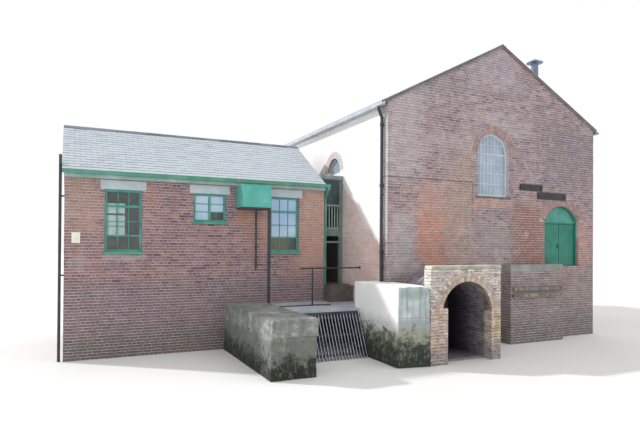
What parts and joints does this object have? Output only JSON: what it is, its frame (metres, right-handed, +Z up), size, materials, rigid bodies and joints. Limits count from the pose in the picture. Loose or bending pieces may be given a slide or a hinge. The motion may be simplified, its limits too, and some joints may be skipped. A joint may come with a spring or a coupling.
{
  "type": "drainage pumping station with beam engine house",
  "caption": "Brick drainage pumping station: tall gabled beam engine house and lower pump house joined by a timber link, with a concrete intake, trash screen and brick culvert portal.",
  "frame": {"origin": "centre of the footprint box at the lowest level, the water line in front of the station", "axes": "+X to the right along the fronts, from pump house to engine house; +Y back into the houses; +Z up"},
  "size_m": [16.7022, 13.82, 9.43],
  "materials": {
    "pump_brick": "rough mottled brown and orange stock brick with pale joints",
    "engine_brick": "rough weathered red and lilac-grey brick with lime stains",
    "arch_brick": "rough orange-red brick",
    "portal_brick": "rough pale buff brick",
    "concrete": "rough weathered concrete with algae low down",
    "slate": "matt grey slate",
    "ridge_tile": "matt blue-grey fired tile",
    "green_paint": "weathered semi-gloss green paint",
    "dark_green_paint": "weathered dark green paint",
    "glass": "clear window glass",
    "plaque_cream": "matt cream",
    "dark_iron": "matt black paint over cast iron",
    "pale_paint": "pale weathered paint",
    "steel_flue": "dull blue-grey metal",
    "weathered_timber": "grey-green weathered timber",
    "lead": "dull lead sheet"
  },
  "bodies": {
    "station": {"pump_front_wall": "pump_brick", "pump_back_wall": "pump_brick", "pump_left_gable": "pump_brick", "pump_right_gable": "pump_brick", "pump_floor": "concrete", "pump_roof_front": "slate", "pump_roof_back": "slate", "pump_ridge": "ridge_tile", "pump_fascia": "green_paint", "pump_gutters": "dark_green_paint", "pump_windows": "green_paint", "pump_glass": "glass", "pump_lintels": "concrete", "pump_sills": "green_paint", "pump_downpipes": "dark_green_paint", "hood": "green_paint", "wall_pipes": "dark_iron", "plaque": "plaque_cream", "engine_front_wall": "engine_brick", "engine_wall_over_door": "engine_brick", "engine_wall_right_of_door": "engine_brick", "engine_door_base": "engine_brick", "engine_left_wall": "engine_brick", "engine_right_wall": "engine_brick", "engine_back_wall": "engine_brick", "engine_floor": "concrete", "engine_roof_left": "slate", "engine_roof_right": "slate", "engine_ridge": "ridge_tile", "engine_gutters": "dark_iron", "engine_downpipes": "dark_iron", "window_arches": "arch_brick", "engine_windows": "pale_paint", "engine_glass": "glass", "wall_plates": "dark_iron", "flue": "steel_flue", "door_arch": "arch_brick", "door_frame": "green_paint", "door_lunette": "green_paint", "step_ledge": "arch_brick", "ledge_slab": "concrete", "walings": "weathered_timber", "link_frame": "weathered_timber", "link_floor": "weathered_timber", "link_balustrade": "pale_paint", "link_boards": "dark_green_paint", "link_roof": "lead", "landing": "concrete", "left_abutment": "concrete", "intake_wall": "concrete", "deck": "concrete", "trash_screen": "dark_iron", "low_wall": "concrete", "handrail": "dark_iron", "portal_wall": "portal_brick", "portal_coping": "concrete", "portal_arch": "portal_brick", "culvert_barrel": "portal_brick"},
    "left_door": {"door_leaf_left": "green_paint"},
    "right_door": {"door_leaf_right": "green_paint"}
  },
  "joints": [
    {"name": "left_door_swing", "type": "hinge", "parent": "station", "child": "left_door", "pos_m": [5.87915, -4.931, 2.33], "axis": [0, 0, 1], "range_deg": [0, 90]},
    {"name": "right_door_swing", "type": "hinge", "parent": "station", "child": "right_door", "pos_m": [7.32315, -4.931, 2.33], "axis": [0, 0, -1], "range_deg": [0, 90]}
  ]
}
